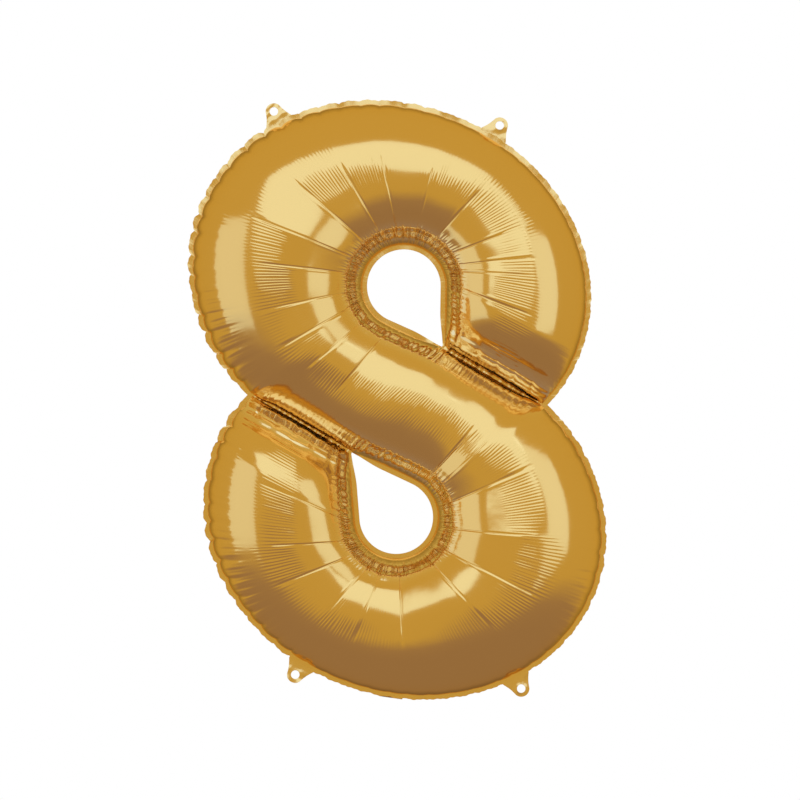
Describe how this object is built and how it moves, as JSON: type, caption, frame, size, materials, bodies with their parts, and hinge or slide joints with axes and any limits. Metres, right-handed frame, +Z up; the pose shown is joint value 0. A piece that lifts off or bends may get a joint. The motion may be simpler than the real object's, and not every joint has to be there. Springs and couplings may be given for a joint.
{
  "type": "foil number balloon",
  "caption": "Inflated gold foil balloon in the shape of the digit eight, with a sealed margin, punched hanging tabs and a self-sealing valve with a folded filling tail.",
  "frame": {"origin": "middle of the bounding box's bottom, below the lowest point of the lower lobe's seam", "axes": "+Z up the digit, from its foot to its head; +X to the digit's right as it is read; -Y the front, with the seam in the plane Y = 0"},
  "size_m": [0.5835, 0.1986, 0.8388],
  "materials": {
    "foil": "polished",
    "sealed_foil": "gloss",
    "valve_film": "gloss"
  },
  "bodies": {
    "envelope": {"front_panel": "foil", "back_panel": "foil", "outer_heat_seal": "sealed_foil", "upper_eye_heat_seal": "sealed_foil", "lower_eye_heat_seal": "sealed_foil", "upper_arm_weld": "sealed_foil", "lower_arm_weld": "sealed_foil", "valve_front_film": "valve_film", "valve_back_film": "valve_film"},
    "upper_left_tab": {"upper_left_tab": "sealed_foil"},
    "upper_right_tab": {"upper_right_tab": "sealed_foil"},
    "lower_left_tab": {"lower_left_tab": "sealed_foil"},
    "lower_right_tab": {"lower_right_tab": "sealed_foil"},
    "valve_tail": {"valve_tail": "sealed_foil"}
  },
  "joints": [
    {"name": "upper_left_tab_bend", "type": "hinge", "parent": "envelope", "child": "upper_left_tab", "pos_m": [-0.16592, 0, 0.80919], "axis": [0.8917, 0, 0.4527], "range_deg": [-70, 70], "stiffness_Nm_per_rad": 0.00002},
    {"name": "upper_right_tab_bend", "type": "hinge", "parent": "envelope", "child": "upper_right_tab", "pos_m": [0.13471, 0, 0.79018], "axis": [0.8504, 0, -0.5261], "range_deg": [-70, 70], "stiffness_Nm_per_rad": 0.00002},
    {"name": "lower_left_tab_bend", "type": "hinge", "parent": "envelope", "child": "lower_left_tab", "pos_m": [-0.13471, 0, 0.04858], "axis": [-0.8504, 0, 0.5261], "range_deg": [-70, 70], "stiffness_Nm_per_rad": 0.00002},
    {"name": "lower_right_tab_bend", "type": "hinge", "parent": "envelope", "child": "lower_right_tab", "pos_m": [0.16592, 0, 0.02957], "axis": [-0.8917, 0, -0.4527], "range_deg": [-70, 70], "stiffness_Nm_per_rad": 0.00002},
    {"name": "valve_tail_bend", "type": "hinge", "parent": "envelope", "child": "valve_tail", "pos_m": [-0.00927, 0, 0.00282], "axis": [-0.9896, 0, 0.1436], "range_deg": [0, 130], "stiffness_Nm_per_rad": 0.0006}
  ]
}
